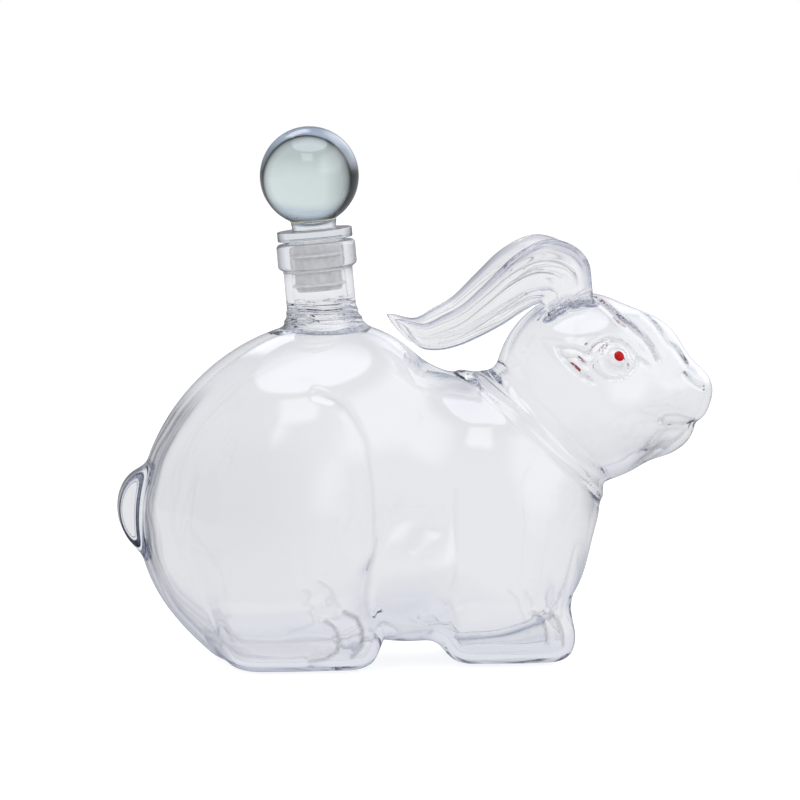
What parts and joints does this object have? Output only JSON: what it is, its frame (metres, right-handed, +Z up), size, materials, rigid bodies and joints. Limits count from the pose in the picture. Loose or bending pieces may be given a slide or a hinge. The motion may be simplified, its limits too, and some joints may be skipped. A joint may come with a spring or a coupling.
{
  "type": "animal-shaped decanter",
  "caption": "Blown glass decanter in the shape of a crouching rabbit, with a neck on its back and a ball stopper in a ribbed sleeve.",
  "frame": {"origin": "under the middle of the whole decanter, on the table that it stands on", "axes": "+X towards the rabbit's nose, +Y towards its left side, +Z up"},
  "size_m": [0.2435, 0.1118, 0.2174],
  "materials": {
    "clear_glass": "clear blown glass, polished by the flame",
    "tinted_glass": "solid teal grey crystal, polished",
    "red_glass": "opaque red glass",
    "glue_film": "thin clear yellowish glue",
    "silicone": "translucent grey silicone, satin"
  },
  "bodies": {
    "decanter": {"body_shell": "clear_glass", "head_shell": "clear_glass", "head_weld": "clear_glass", "neck_weld": "clear_glass", "neck_tube": "clear_glass", "mouth_collar": "clear_glass", "left_ear": "clear_glass", "right_ear": "clear_glass", "tail": "clear_glass", "left_eye_lens": "clear_glass", "right_eye_lens": "clear_glass", "left_pupil": "red_glass", "right_pupil": "red_glass"},
    "sleeve": {"stopper_sleeve": "silicone"},
    "stopper": {"stopper_ball": "tinted_glass", "ball_glue": "glue_film", "ball_collar": "clear_glass", "stopper_plug": "clear_glass"}
  },
  "joints": [
    {"name": "stopper_lift", "type": "slide", "parent": "decanter", "child": "sleeve", "axis": [-0.0872, 0, 0.9962], "range_m": [0, 0.05]},
    {"name": "stopper_twist", "type": "hinge", "parent": "sleeve", "child": "stopper", "pos_m": [-0.04126, 0, 0.1738], "axis": [-0.0872, 0, 0.9962], "continuous": true}
  ]
}
